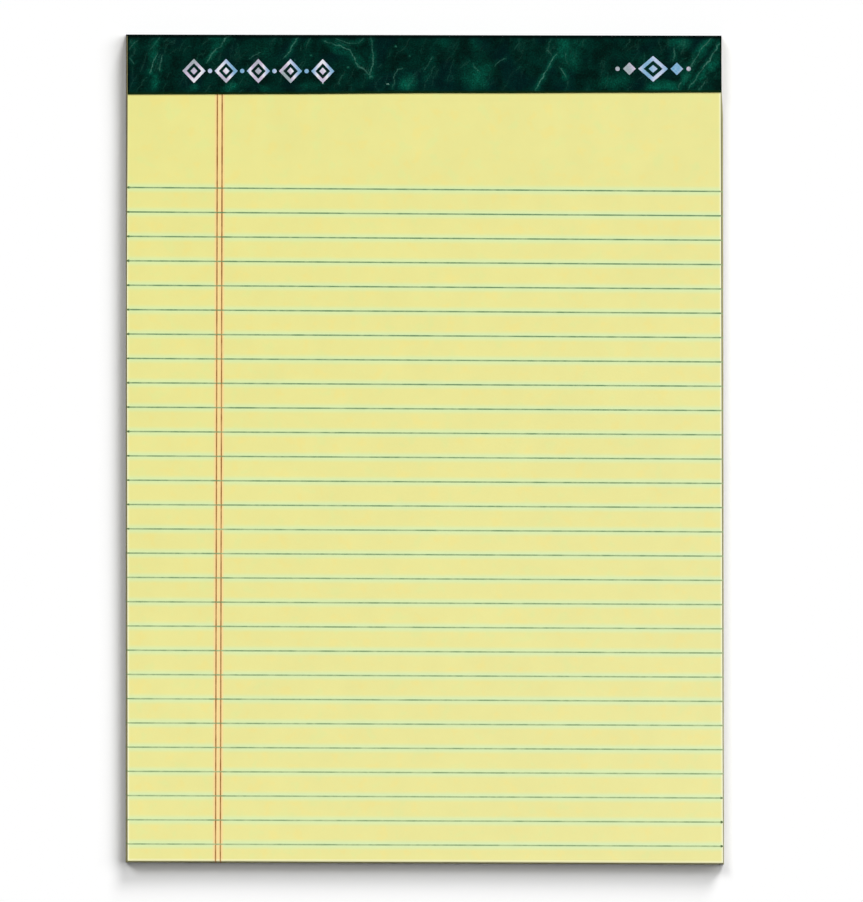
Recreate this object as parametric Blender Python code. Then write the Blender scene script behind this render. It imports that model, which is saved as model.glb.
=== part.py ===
"""Legal pad, lying face up: ruled sheets on a chipboard back, stapled across the head
and wrapped there in a folded, marbled binding strip.

Metres, +Z up, +X across the sheets, +Y towards the head. The origin is under the middle
of the pad, level with the strip's back flap, the lowest thing on it.
"""
import math

import bmesh
import bpy
import numpy as np
from mathutils import Vector
from mathutils.geometry import delaunay_2d_cdt

# Sheets, as trimmed
SHEET_WIDTH = 0.2156
SHEET_LENGTH = 0.2990
SHEET_COUNT = 50
BLOCK_THICKNESS = 0.0045         # the whole pile of light bond, pressed flat
SHEET_GAP_SHARE = 0.17           # of one sheet, the opening to the next one at their edges
EDGE_GROOVE = 0.00012            # how deep that opening is drawn
TRIM_STAGGER = 0.0001            # how far the knife left one sheet short of another
TRIM_SEED = 11

# Ruling: each line falls a little from left to right, the first one most
RULE_SPACING = 0.00879
RULE_WIDTH = 0.0003
FIRST_RULE_FROM_HEAD = 0.0556
LAST_RULE_FROM_FOOT = 0.003
FIRST_RULE_FALL = 0.00163
LAST_RULE_FALL = 0.00074

# Margin: a pair of lines that drift outwards towards the foot
MARGIN_FROM_LEFT = 0.0328
MARGIN_SPACING = 0.00175
MARGIN_DRIFT = 0.0006
MARGIN_LINE_WIDTH = 0.00035

# Perforation, hidden just under the strip's front edge
PERFORATION_FROM_HEAD = 0.01905
SLIT_LENGTH = 0.0010
SLIT_WIDTH = 0.00015
SLIT_TIE = 0.0006                # paper left between two slits
SLIT_ROW_INSET = 0.0012          # paper left at each end of the row

# Chipboard back
BOARD_THICKNESS = 0.0010
BOARD_EDGE_CRUSH = 0.00015

# Binding strip: the front flap is cut a little out of square
STRIP_THICKNESS = 0.0002
STRIP_FRONT_LEFT = 0.0211
STRIP_FRONT_RIGHT = 0.0205
STRIP_BACK = 0.0195
GLUE_FILM = 0.0001
FOLD_RADIUS_PER_FILM = 2.5       # inner fold radius: the square block clears it below 3.4
FOLD_SEGMENTS = 6

# Staples
STAPLE_SIDE_SHARES = {"left": -1.0, "middle": 0.0, "right": 1.0}
STAPLE_FROM_SIDE = 0.0353        # from the pad's side to the middle of an outer crown
STAPLE_CROWN = 0.0127
STAPLE_WIRE = 0.00055
STAPLE_SIDES = 8
STAPLE_BEND_SEGMENTS = 4
STAPLE_LINE_SHARE = 0.45         # of the way from the head to the perforation
CLINCH_SHARE = 0.34              # of the crown, for each turned-in leg
CLINCH_BED_SHARE = 0.7           # of the board, the deepest that a leg presses in
WIRE_CLEARANCE = 0.0001
BEND_PER_CLEARANCE = 2.2         # inner bend radius: the square bed clears it below 3.4

# Print on the strip
PRINT_BORDER = 0.0004
MARBLE_SEED = 4
MARBLE_LEAN = math.radians(60.0)
MARBLE_LEAN_SPREAD = math.radians(14.0)
VEIN_COUNT = 22
VEIN_WIDTH = 0.0004
VEIN_SHORTEST = 0.006
VEIN_LONGEST = 0.020
VEIN_WOBBLE = 0.0005
VEIN_STEPS = 6
CLOUD_COUNT = 14
CLOUD_SHORTEST = 0.004
CLOUD_LONGEST = 0.009
CLOUD_WIDTH_SHARE = 0.42         # of its length
CLOUD_POINTS = 11
LOZENGE_COUNT = 5
LOZENGE_SPACING = 0.0117
LOZENGE_WIDTH = 0.0084
LOZENGE_HEIGHT = 0.0088
LOZENGE_RING_SHARES = (1.0, 0.64, 0.3)   # foil, ground and foil again, one in another
SMALL_LOZENGE_WIDTH = 0.0046
DOT_WIDTH = 0.0016
DOT_POINTS = 8
ROW_FROM_LEFT = 0.0475           # middle of the row of lozenges
ROW_FROM_HEAD = 0.0132
CLUSTER_FROM_RIGHT = 0.0248      # middle of the cluster at the other end
CLUSTER_FROM_HEAD = 0.0121
CLUSTER_SPACING = 0.0086
CLUSTER_LOZENGE_WIDTH = 0.0108
CLUSTER_LOZENGE_HEIGHT = 0.0094

OVERRUN = 0.001                  # how far a cutter stands past what it cuts
WELD = 0.000001

# Colour in 8-bit sRGB, roughness and metallic value
FINISHES = {
    "canary_bond": ((235, 230, 149), 0.9, 0.0),
    "rule_ink": ((146, 180, 128), 0.9, 0.0),
    "margin_ink": ((190, 110, 60), 0.9, 0.0),
    "grey_chipboard": ((150, 140, 122), 0.95, 0.0),
    "marble_ground": ((4, 38, 33), 0.45, 0.0),
    "marble_cloud": ((16, 66, 54), 0.45, 0.0),
    "marble_vein": ((62, 118, 104), 0.45, 0.0),
    "silver_foil": ((212, 216, 232), 0.25, 0.8),
    "staple_wire": ((176, 178, 182), 0.35, 1.0),
}

# Worked out from the sizes above: one level over another, from the strip's back flap up
sheet_thickness = BLOCK_THICKNESS / SHEET_COUNT
bed_depth = STAPLE_WIRE + WIRE_CLEARANCE
clinch_bed_depth = min(bed_depth, CLINCH_BED_SHARE * BOARD_THICKNESS)
clinch_proud = bed_depth - clinch_bed_depth
board_bottom = STRIP_THICKNESS + GLUE_FILM + clinch_proud
board_top = board_bottom + BOARD_THICKNESS
block_bottom = board_top + GLUE_FILM
block_top = block_bottom + BLOCK_THICKNESS
strip_top = block_top + GLUE_FILM + STRIP_THICKNESS

# and one edge after another, with the middle of the whole pad at zero
pad_length = SHEET_LENGTH + GLUE_FILM + STRIP_THICKNESS
half_width = SHEET_WIDTH / 2
strip_head = pad_length / 2
foot = -strip_head
head = foot + SHEET_LENGTH
staple_line = head - STAPLE_LINE_SHARE * PERFORATION_FROM_HEAD
bend_radius = STAPLE_WIRE / 2 + BEND_PER_CLEARANCE * WIRE_CLEARANCE


def linear(colour):
    """8-bit sRGB to the linear values that a shader takes."""
    shares = np.array(colour) / 255
    return np.where(shares <= 0.04045, shares / 12.92, ((shares + 0.055) / 1.055) ** 2.4)


def make_finishes():
    """One Principled material for each entry of FINISHES."""
    made = {}
    for name, (colour, roughness, metallic) in FINISHES.items():
        material = bpy.data.materials.new(name)
        material.use_nodes = True
        shader = material.node_tree.nodes["Principled BSDF"]
        shader.inputs["Base Color"].default_value = (*linear(colour), 1.0)
        shader.inputs["Roughness"].default_value = roughness
        shader.inputs["Metallic"].default_value = metallic
        made[name] = material
    return made


def add_object(name, mesh, materials):
    """Puts a finished mesh into the scene as a named object."""
    for material in materials:
        mesh.materials.append(material)
    item = bpy.data.objects.new(name, mesh)
    bpy.context.scene.collection.objects.link(item)
    return item


def mesh_from(bm, name):
    """Welds a bmesh, turns its faces outwards and hands it over as a mesh."""
    bmesh.ops.remove_doubles(bm, verts=bm.verts, dist=WELD)
    bmesh.ops.recalc_face_normals(bm, faces=bm.faces)
    mesh = bpy.data.meshes.new(name)
    bm.to_mesh(mesh)
    bm.free()
    return mesh


def loft(bm, rings):
    """Skins a list of rings, all of the same number of points, and caps its two ends."""
    verts = [[bm.verts.new(point) for point in ring] for ring in rings]
    for lower, upper in zip(verts, verts[1:]):
        for a, b in zip(range(-1, len(lower) - 1), range(len(lower))):
            bm.faces.new((lower[a], lower[b], upper[b], upper[a]))
    bm.faces.new(reversed(verts[0]))
    bm.faces.new(verts[-1])


def rectangle(x_low, x_high, y_low, y_high, z):
    """Four corners, anticlockwise seen from above."""
    return [(x_low, y_low, z), (x_high, y_low, z), (x_high, y_high, z), (x_low, y_high, z)]


def add_box(bm, x_span, y_span, z_span):
    """A plain box between two values along each axis."""
    loft(bm, [rectangle(*x_span, *y_span, z) for z in z_span])


def add_cutter(name, bm):
    """A shape that only cuts: never rendered, drawn as wire."""
    cutter = add_object(name, mesh_from(bm, name), [])
    cutter.hide_render = True
    cutter.display_type = "WIRE"
    return cutter


def cut(item, cutter):
    """Takes the cutter's shape out of an object."""
    modifier = item.modifiers.new(cutter.name, "BOOLEAN")
    modifier.operation = "DIFFERENCE"
    modifier.solver = "EXACT"
    modifier.object = cutter


# Sheet block


def sheet_edge_rings():
    """Ring after ring up the pile: each sheet's edge, then the opening above it."""
    short = TRIM_STAGGER * np.random.default_rng(TRIM_SEED).random(SHEET_COUNT)
    groove = TRIM_STAGGER + EDGE_GROOVE
    gap = SHEET_GAP_SHARE * sheet_thickness
    levels = []
    for number, inset in enumerate(short):
        low = block_bottom + number * sheet_thickness
        high = low + sheet_thickness - gap
        levels += [(inset, low), (inset, high), (groove, high), (groove, high + gap)]
    levels[-3:] = [(short[-1], block_top)]
    return [rectangle(inset - half_width, half_width - inset, foot + inset, head - inset, z)
            for inset, z in levels]


def rule_bands():
    """Each ruled line as a point on it, its direction and its width."""
    last = SHEET_LENGTH - FIRST_RULE_FROM_HEAD - LAST_RULE_FROM_FOOT
    count = int(last / RULE_SPACING) + 1
    for number in range(count):
        share = number / max(count - 1, 1)
        fall = FIRST_RULE_FALL + share * (LAST_RULE_FALL - FIRST_RULE_FALL)
        middle = Vector((0, head - FIRST_RULE_FROM_HEAD - number * RULE_SPACING, block_top))
        yield middle, Vector((SHEET_WIDTH, -fall, 0)).normalized(), RULE_WIDTH


def margin_bands():
    """The two margin lines, in the same terms."""
    for place in (MARGIN_FROM_LEFT, MARGIN_FROM_LEFT + MARGIN_SPACING):
        top = Vector((place - half_width, head, block_top))
        yield top, Vector((-MARGIN_DRIFT, -SHEET_LENGTH, 0)).normalized(), MARGIN_LINE_WIDTH


def top_faces(bm):
    """The faces that the top sheet is made of so far."""
    return [face for face in bm.faces if face.calc_center_median().z > block_top - WELD]


def print_band(bm, point, along, width, ink):
    """Parts the top face along both sides of a line and inks what lies between."""
    across = along.cross(Vector((0, 0, 1)))
    for side in (-width / 2, width / 2):
        faces = top_faces(bm)
        edges = {edge for face in faces for edge in face.edges}
        bmesh.ops.bisect_plane(bm, geom=[*faces, *edges], dist=WELD,
                               plane_co=point + side * across, plane_no=across)
    for face in top_faces(bm):
        if abs((face.calc_center_median() - point).dot(across)) < width / 2:
            face.material_index = ink


def make_sheet_block(finishes, cutters):
    """All the sheets as one solid, with its edges, print, perforation and staple beds."""
    bm = bmesh.new()
    loft(bm, sheet_edge_rings())
    for band in rule_bands():
        print_band(bm, *band, ink=1)
    for band in margin_bands():
        print_band(bm, *band, ink=2)
    inks = [finishes[name] for name in ("canary_bond", "rule_ink", "margin_ink")]
    block = add_object("sheet_block", mesh_from(bm, "sheet_block"), inks)
    for name in ("perforation_slits", "crown_beds", "leg_bores"):
        cut(block, cutters[name])


def make_perforation_cutter():
    """A row of narrow slits across the whole pile."""
    bm = bmesh.new()
    step = SLIT_LENGTH + SLIT_TIE
    count = int((SHEET_WIDTH - 2 * SLIT_ROW_INSET + SLIT_TIE) / step)
    first = -(count * step - SLIT_TIE) / 2
    row = head - PERFORATION_FROM_HEAD
    for number in range(count):
        left = first + number * step
        add_box(bm, (left, left + SLIT_LENGTH), (row - SLIT_WIDTH / 2, row + SLIT_WIDTH / 2),
                (block_bottom - OVERRUN, block_top + OVERRUN))
    return add_cutter("perforation_slits", bm)


# Chipboard back


def make_back_board(finishes, cutters):
    """The stiff back, its cut edges a little crushed, with the beds of the staple legs."""
    bm = bmesh.new()
    add_box(bm, (-half_width, half_width), (foot, head), (board_bottom, board_top))
    board = add_object("back_board", mesh_from(bm, "back_board"), [finishes["grey_chipboard"]])
    crush = board.modifiers.new("crushed_edges", "BEVEL")
    crush.width = BOARD_EDGE_CRUSH
    crush.segments = 2
    for name in ("leg_bores", "clinch_beds"):
        cut(board, cutters[name])


# Staples


def staple_middles():
    """Where each staple's crown has its middle, across the pad."""
    reach = half_width - STAPLE_FROM_SIDE
    return {place: share * reach for place, share in STAPLE_SIDE_SHARES.items()}


def rounded_path(corners, radius, segments):
    """A run of straight stretches in the XZ plane with its corners turned as arcs."""
    path = [corners[0]]
    for before, corner, after in zip(corners, corners[1:], corners[2:]):
        back = (before - corner).normalized()
        ahead = (after - corner).normalized()
        centre = corner + radius * (back + ahead)
        for step in range(segments + 1):
            angle = step / segments * math.pi / 2
            path.append(centre - radius * (math.cos(angle) * ahead + math.sin(angle) * back))
    return [*path, corners[-1]]


def wire_rings(path, radius, sides):
    """An upright polygon of wire at each point of a path in the XZ plane."""
    upright = Vector((0, 1, 0))
    for number, point in enumerate(path):
        ahead = path[min(number + 1, len(path) - 1)] - path[max(number - 1, 0)]
        across = ahead.normalized().cross(upright)
        angles = [2 * math.pi * side / sides for side in range(sides)]
        yield [point + radius * (math.cos(a) * across + math.sin(a) * upright) for a in angles]


def make_staple(place, middle, finishes):
    """One wire staple, from the tip of one clinched leg over the crown to the other."""
    high = block_top - STAPLE_WIRE / 2
    low = board_bottom - clinch_proud + STAPLE_WIRE / 2
    reach = STAPLE_CROWN / 2
    tip = reach - CLINCH_SHARE * STAPLE_CROWN
    corners = [Vector((middle + x, staple_line, z))
               for x, z in ((-tip, low), (-reach, low), (-reach, high),
                            (reach, high), (reach, low), (tip, low))]
    bm = bmesh.new()
    path = rounded_path(corners, bend_radius, STAPLE_BEND_SEGMENTS)
    loft(bm, list(wire_rings(path, STAPLE_WIRE / 2, STAPLE_SIDES)))
    name = "staple_" + place
    staple = add_object(name, mesh_from(bm, name), [finishes["staple_wire"]])
    staple.data.shade_smooth()


def make_staple_cutters():
    """Beds for the crowns and the clinched legs, and bores for the legs between them."""
    crowns, clinches, bores = bmesh.new(), bmesh.new(), bmesh.new()
    room = STAPLE_WIRE / 2 + WIRE_CLEARANCE
    y_span = (staple_line - room, staple_line + room)
    reach = STAPLE_CROWN / 2
    tip = reach - CLINCH_SHARE * STAPLE_CROWN
    corner_radius = room / math.cos(math.pi / STAPLE_SIDES)
    for middle in staple_middles().values():
        add_box(crowns, (middle - reach - room, middle + reach + room), y_span,
                (block_top - bed_depth, block_top + OVERRUN))
        for side in (-1, 1):
            leg = middle + side * reach
            inner = middle + side * (tip - WIRE_CLEARANCE)
            ends = sorted((leg + side * room, inner))
            add_box(clinches, ends, y_span,
                    (board_bottom - OVERRUN, board_bottom + clinch_bed_depth))
            angles = [2 * math.pi * number / STAPLE_SIDES for number in range(STAPLE_SIDES)]
            loft(bores, [[(leg + corner_radius * math.cos(a),
                           staple_line + corner_radius * math.sin(a), z) for a in angles]
                         for z in (board_bottom - OVERRUN, block_top + OVERRUN)])
    return {"crown_beds": add_cutter("crown_beds", crowns),
            "clinch_beds": add_cutter("clinch_beds", clinches),
            "leg_bores": add_cutter("leg_bores", bores)}


# Binding strip


def fold_arc(centre_y, centre_z, radius, start, end):
    """Points of a quarter fold, from one angle to another, in the YZ plane."""
    return [(centre_y + radius * math.cos(angle), centre_z + radius * math.sin(angle))
            for angle in np.linspace(start, end, FOLD_SEGMENTS + 1)]


def strip_outline(front_depth):
    """The strip cut through: round its outside from the front flap's edge, back inside."""
    inner = FOLD_RADIUS_PER_FILM * GLUE_FILM
    outer = inner + STRIP_THICKNESS
    y = strip_head - outer
    top = strip_top - outer
    bottom = outer
    quarter = math.pi / 2
    front_edge = strip_head - front_depth
    back_edge = strip_head - STRIP_BACK
    return [(front_edge, strip_top),
            *fold_arc(y, top, outer, quarter, 0), *fold_arc(y, bottom, outer, 0, -quarter),
            (back_edge, 0), (back_edge, STRIP_THICKNESS),
            *fold_arc(y, bottom, inner, -quarter, 0), *fold_arc(y, top, inner, 0, quarter),
            (front_edge, strip_top - STRIP_THICKNESS)]


def vein(rng):
    """A slim wavering leaf shape, thickest at its middle, leaning to the right."""
    lean = MARBLE_LEAN + MARBLE_LEAN_SPREAD * rng.uniform(-1, 1)
    length = rng.uniform(VEIN_SHORTEST, VEIN_LONGEST)
    along = np.linspace(-length / 2, length / 2, VEIN_STEPS + 1)
    waver = VEIN_WOBBLE * rng.uniform(-1, 1, VEIN_STEPS + 1)
    half = VEIN_WIDTH / 2 * np.sin(np.linspace(0, math.pi, VEIN_STEPS + 1))[1:-1]
    side = np.concatenate((waver, waver[-2:0:-1]))
    side += np.concatenate(([0], -half, [0], half[::-1]))
    forth = np.concatenate((along, along[-2:0:-1]))
    return turned(forth, side, lean)


def cloud(rng):
    """A ragged oval patch, drawn out along the same lean."""
    lean = MARBLE_LEAN + MARBLE_LEAN_SPREAD * rng.uniform(-1, 1)
    length = rng.uniform(CLOUD_SHORTEST, CLOUD_LONGEST)
    angles = 2 * math.pi * np.arange(CLOUD_POINTS) / CLOUD_POINTS
    radius = length * rng.uniform(1 - CLOUD_WIDTH_SHARE, 1, CLOUD_POINTS)
    return turned(radius * np.cos(angles), CLOUD_WIDTH_SHARE * radius * np.sin(angles), lean)


def turned(forth, side, lean):
    """Points given along and beside a leaning line, as x and y."""
    return np.stack((forth * math.cos(lean) - side * math.sin(lean),
                     forth * math.sin(lean) + side * math.cos(lean)), axis=1)


def lozenge(width, height):
    """A diamond about its own middle."""
    return np.array([(width, 0), (0, height), (-width, 0), (0, -height)]) / 2


def pierced_lozenge(width, height):
    """A diamond within a diamond, each with its ink."""
    for number, share in enumerate(LOZENGE_RING_SHARES):
        yield 0 if number % 2 else 3, share * lozenge(width, height)


def dot():
    """A small round dot about its own middle."""
    angles = 2 * math.pi * np.arange(DOT_POINTS) / DOT_POINTS
    return DOT_WIDTH / 2 * np.stack((np.cos(angles), np.sin(angles)), axis=1)


def ornaments():
    """A printer's row of pierced lozenges and dots, and a cluster of them at the far end."""
    row = np.array((ROW_FROM_LEFT - half_width, strip_head - ROW_FROM_HEAD))
    step = np.array((LOZENGE_SPACING, 0))
    for number in range(LOZENGE_COUNT):
        middle = row + (number - (LOZENGE_COUNT - 1) / 2) * step
        for ink, points in pierced_lozenge(LOZENGE_WIDTH, LOZENGE_HEIGHT):
            yield ink, middle + points
        if number < LOZENGE_COUNT - 1:
            yield 3, middle + step / 2 + dot()
    cluster = np.array((half_width - CLUSTER_FROM_RIGHT, strip_head - CLUSTER_FROM_HEAD))
    for ink, points in pierced_lozenge(CLUSTER_LOZENGE_WIDTH, CLUSTER_LOZENGE_HEIGHT):
        yield ink, cluster + points
    for side in (-1, 1):
        beside = cluster + (side * CLUSTER_SPACING, 0)
        yield 3, beside + lozenge(SMALL_LOZENGE_WIDTH, SMALL_LOZENGE_WIDTH)
        yield 3, beside + (side * CLUSTER_SPACING / 2, 0) + dot()


def scattered(shape, count, rng, low, high):
    """So many shapes, spread evenly along the strip and at random across it."""
    for number in range(count):
        share = (number + rng.uniform(0, 1)) / count
        yield shape(rng) + (low[0] + share * (high[0] - low[0]), rng.uniform(low[1], high[1]))


def strip_print(corners):
    """Clouds, veins and ornaments on the front flap, each as its ink and its points."""
    rng = np.random.default_rng(MARBLE_SEED)
    low, high = corners.min(axis=0) + PRINT_BORDER, corners.max(axis=0) - PRINT_BORDER
    low[1] += abs(STRIP_FRONT_LEFT - STRIP_FRONT_RIGHT)
    fields = [(1, points) for points in scattered(cloud, CLOUD_COUNT, rng, low, high)]
    fields += [(2, points) for points in scattered(vein, VEIN_COUNT, rng, low, high)]
    fields += ornaments()
    return [(ink, np.clip(points, low, high)) for ink, points in fields]


def holds(outline, spots):
    """Which spots a polygon holds: a ray to the right of them crosses it an odd number of times."""
    x, y = spots.T
    starts = outline[:, :, None]
    run, rise = (np.roll(outline, -1, axis=0) - outline)[:, :, None].swapaxes(0, 1)
    passes = (starts[:, 1] > y) != (starts[:, 1] + rise > y)
    ahead = ((y - starts[:, 1]) * run - (x - starts[:, 0]) * rise) * rise > 0
    return (passes & ahead).sum(axis=0) % 2 == 1


def add_printed_flap(bm, corners):
    """Parts the front flap's face along its fields of colour and inks each piece."""
    fields = strip_print(corners)
    points, sides = [], []
    for outline in (corners, *(outline for _, outline in fields)):
        numbers = len(points) + np.arange(len(outline))
        sides += zip(numbers.tolist(), np.roll(numbers, -1).tolist())
        points += [Vector(point) for point in outline]
    whole_hull = 0
    spots, _, pieces, _, _, _ = delaunay_2d_cdt(points, sides, [], whole_hull, WELD)
    flat = np.array(spots)
    middles = np.array([flat[piece].mean(axis=0) for piece in pieces])
    inks = np.zeros(len(pieces), int)
    for ink, outline in fields:
        inks[holds(outline, middles)] = ink
    verts = [bm.verts.new((*spot, strip_top)) for spot in spots]
    for piece, ink in zip(pieces, inks):
        bm.faces.new([verts[number] for number in piece]).material_index = int(ink)


def make_binding_strip(finishes):
    """The folded strip, lofted between its two cut ends."""
    bm = bmesh.new()
    ends = [[(x, y, z) for y, z in strip_outline(depth)]
            for x, depth in ((-half_width, STRIP_FRONT_LEFT), (half_width, STRIP_FRONT_RIGHT))]
    loft(bm, ends)
    flap = max(bm.faces, key=lambda face: face.calc_center_median().z)
    bmesh.ops.delete(bm, geom=[flap], context="FACES_ONLY")
    corners = np.array([ends[0][0][:2], ends[1][0][:2], ends[1][1][:2], ends[0][1][:2]])
    add_printed_flap(bm, corners)
    inks = [finishes[name] for name in ("marble_ground", "marble_cloud", "marble_vein", "silver_foil")]
    add_object("binding_strip", mesh_from(bm, "binding_strip"), inks)


def build():
    """Empties the scene and makes the pad."""
    for item in list(bpy.data.objects):
        bpy.data.objects.remove(item, do_unlink=True)
    finishes = make_finishes()
    cutters = make_staple_cutters()
    cutters["perforation_slits"] = make_perforation_cutter()
    make_sheet_block(finishes, cutters)
    make_back_board(finishes, cutters)
    for place, middle in staple_middles().items():
        make_staple(place, middle, finishes)
    make_binding_strip(finishes)


build()
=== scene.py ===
# A legal pad, dressed: canary sheets with their ruling, margin and trimmed edges, a chipboard
# back, three staples, and a marbled binding strip with foil ornaments, folded over the head.
import math

import bmesh
import bpy
import numpy as np
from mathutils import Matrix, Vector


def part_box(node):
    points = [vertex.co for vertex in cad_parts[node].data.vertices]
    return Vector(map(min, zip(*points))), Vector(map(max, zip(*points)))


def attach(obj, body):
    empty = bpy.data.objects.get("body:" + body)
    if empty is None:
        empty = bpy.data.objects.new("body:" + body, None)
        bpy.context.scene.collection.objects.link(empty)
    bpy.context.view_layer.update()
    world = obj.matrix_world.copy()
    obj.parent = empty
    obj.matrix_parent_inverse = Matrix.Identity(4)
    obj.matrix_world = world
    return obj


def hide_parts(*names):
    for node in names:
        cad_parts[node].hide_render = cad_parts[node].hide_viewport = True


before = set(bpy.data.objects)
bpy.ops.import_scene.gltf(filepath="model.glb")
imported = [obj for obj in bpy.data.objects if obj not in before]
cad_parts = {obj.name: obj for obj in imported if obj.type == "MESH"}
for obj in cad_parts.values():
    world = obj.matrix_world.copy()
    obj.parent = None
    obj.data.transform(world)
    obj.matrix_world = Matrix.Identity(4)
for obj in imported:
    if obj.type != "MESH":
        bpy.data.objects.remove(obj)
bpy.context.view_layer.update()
print("frame loaded:", ", ".join(sorted(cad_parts)))

mm = 0.001
sheetLow, sheetHigh = (np.array(corner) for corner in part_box("sheet_block"))
stripLow, stripHigh = (np.array(corner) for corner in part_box("binding_strip"))
boardLow, boardHigh = (np.array(corner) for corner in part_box("back_board"))
halfWidth = stripHigh[0]
padWidth = 2 * halfWidth
foot, head = sheetLow[1], sheetHigh[1]
sheetLength = head - foot
blockBottom, blockTop = sheetLow[2], sheetHigh[2]
stripHead, stripTop = stripHigh[1], stripHigh[2]


# Numbers and curves

def srgb(red, green, blue):
    # 8-bit screen values as the linear ones that a shader takes
    shares = np.array((red, green, blue)) / 255
    linear = np.where(shares <= 0.04045, shares / 12.92, ((shares + 0.055) / 1.055) ** 2.4)
    return (*linear.tolist(), 1.0)


def smoothstep(value, start, end):
    # 3t^2 - 2t^3, where t runs from 0 at start to 1 at end and holds outside them
    t = np.clip((value - start) / (end - start), 0, 1)
    return t * t * (3 - 2 * t)


def inMm(lengths):
    # Lengths as the numbers of millimetres that the shaders read
    return [length / mm for length in lengths]


def waver(along, count, longest, rng):
    # count rows of a wandering line: three sines of random phase, each half as long and as high
    phases = rng.uniform(0, 2 * math.pi, (3, count, 1))
    waves = [np.sin(2 * math.pi * along * 2 ** n / longest + phases[n]) / 2 ** n for n in range(3)]
    return sum(waves) / 1.75     # the three heights' sum, so that it stays within -1 and 1


def ringQuads(rings, points, closed=True):
    # Quad (i, j) joins points j and j + 1 of ring i to the same two points of ring i + 1
    i = np.arange(rings - 1)[:, None] * points
    j = np.arange(points if closed else points - 1)
    k = (j + 1) % points
    return np.stack((i + j, i + k, i + points + k, i + points + j), axis=-1).reshape(-1, 4)


def polygon(sides, radius):
    # Corners at equal angles on a circle, anticlockwise from the right
    angles = 2 * math.pi * np.arange(sides) / sides
    return radius * np.stack((np.cos(angles), np.sin(angles)), axis=1)


# Meshes

def makeObject(name, points, faceSets):
    # Points and sets of faces as a mesh object; a negative volume means that all faces point in
    mesh = bpy.data.meshes.new(name)
    faces = [face for faceSet in faceSets for face in np.asarray(faceSet).tolist()]
    mesh.from_pydata(np.asarray(points, float).tolist(), [], faces)
    solid = bmesh.new()
    solid.from_mesh(mesh)
    if solid.calc_volume(signed=True) < 0:
        print("turned inside out:", name)
        bmesh.ops.reverse_faces(solid, faces=solid.faces)
        solid.to_mesh(mesh)
    solid.free()
    made = bpy.data.objects.new(name, mesh)
    bpy.context.scene.collection.objects.link(made)
    return made


def finishPiece(piece, material, sharpAngle=35):
    # Smooth faces with sharp edges above an angle, a material, and a ride on the pad
    piece.data.shade_smooth()
    piece.data.set_sharp_from_angle(angle=math.radians(sharpAngle))
    piece.data.materials.clear()
    piece.data.materials.append(material)
    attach(piece, "root")
    print("made", piece.name, len(piece.data.polygons), "faces")
    return piece


def layAttribute(piece, name, values):
    # One number for each point
    layer = piece.data.attributes.new(name, "FLOAT", "POINT")
    layer.data.foreach_set("value", np.asarray(values, np.float32).ravel())


def layUv(piece, name, corners):
    # One pair of coordinates for each face corner, in the order of the mesh's own corners
    layer = piece.data.uv_layers.new(name=name)
    layer.data.foreach_set("uv", np.asarray(corners, np.float32).ravel())


# Shaders

class Wire:
    # A socket that carries a number or a colour; a sum written on it becomes a Math node
    def __init__(self, finish, socket):
        self.finish = finish
        self.socket = socket

    def math(self, operation, *others):
        values = dict(enumerate((self, *others)))
        return self.finish.node("Math", {"operation": operation}, values)

    def __add__(self, other):
        return self.math("ADD", other)

    def __sub__(self, other):
        return self.math("SUBTRACT", other)

    def __rsub__(self, other):
        return self.finish.node("Math", {"operation": "SUBTRACT"}, {0: other, 1: self})

    def __mul__(self, other):
        return self.math("MULTIPLY", other)

    def __truediv__(self, other):
        return self.math("DIVIDE", other)

    def __abs__(self):
        return self.math("ABSOLUTE")

    __radd__ = __add__
    __rmul__ = __mul__

    def most(self, other):
        return self.math("MAXIMUM", other)

    def least(self, other):
        return self.math("MINIMUM", other)

    def over(self, start, end):
        # 0 at start and 1 at end, S-shaped between them, for either order of the two
        settings = {"interpolation_type": "SMOOTHSTEP"}
        return self.finish.node("MapRange", settings, {0: self, 1: start, 2: end})


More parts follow.
